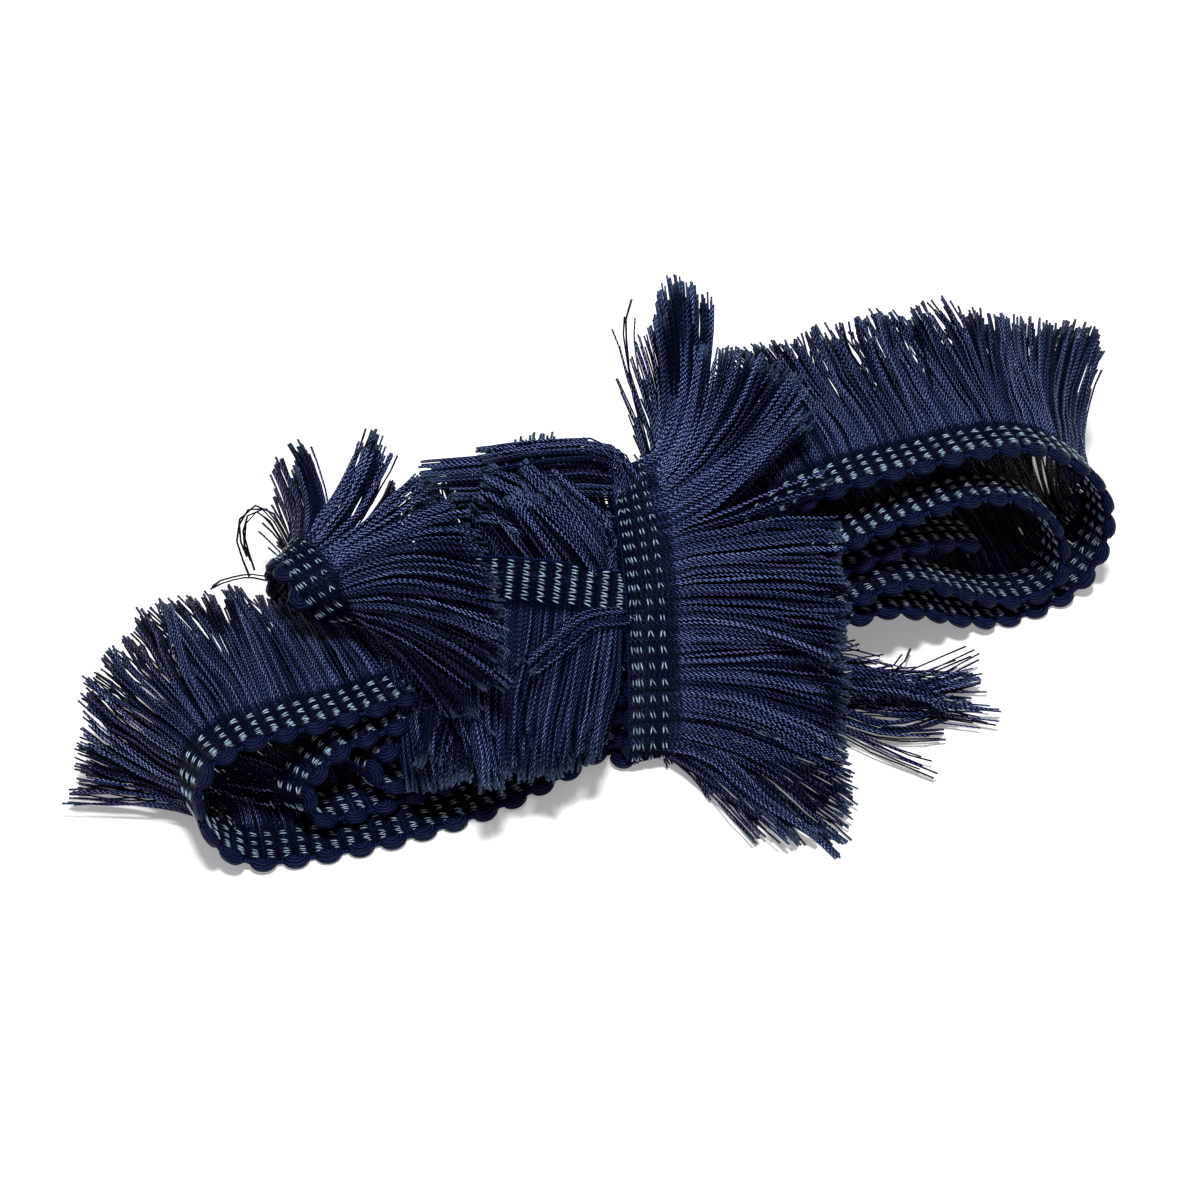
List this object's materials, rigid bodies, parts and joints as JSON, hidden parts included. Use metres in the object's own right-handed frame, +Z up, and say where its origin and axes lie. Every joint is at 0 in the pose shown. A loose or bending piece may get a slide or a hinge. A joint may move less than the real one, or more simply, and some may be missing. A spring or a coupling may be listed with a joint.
{
  "type": "tassel fringe trim",
  "caption": "Navy brush fringe trim: a woven heading with looped selvedge and cut twisted yarns, wound as a flat hank and bound round the waist with its own tail.",
  "frame": {"origin": "on the floor, at the flat face mount under the binding where it passes beneath the waist", "axes": "+X along the hank from the low lobe to the high lobe, +Y from the looped selvedge towards the fringe tips, +Z up"},
  "size_m": [0.2614, 0.1382, 0.0625],
  "materials": {
    "heading_weave": "woven, with lustrous pale blue stitches",
    "fringe_yarn": "twisted yarn, soft sheen"
  },
  "bodies": {
    "root": {"heading": "heading_weave", "fringe_binder_front": "fringe_yarn", "fringe_binder_turn": "fringe_yarn", "fringe_binder_under": "fringe_yarn", "fringe_core_high": "fringe_yarn", "fringe_core_low": "fringe_yarn", "fringe_fold": "fringe_yarn", "fringe_left_inner_high": "fringe_yarn", "fringe_left_inner_low": "fringe_yarn", "fringe_left_outer_high": "fringe_yarn", "fringe_left_outer_low": "fringe_yarn", "fringe_right_inner_high": "fringe_yarn", "fringe_right_inner_low": "fringe_yarn", "fringe_right_outer_high": "fringe_yarn", "fringe_right_outer_low": "fringe_yarn", "fringe_tail": "fringe_yarn", "fringe_tail_bend": "fringe_yarn", "fringe_under": "fringe_yarn", "fringe_wrap_back": "fringe_yarn", "fringe_wrap_front": "fringe_yarn", "fringe_wrap_top": "fringe_yarn"}
  },
  "joints": []
}
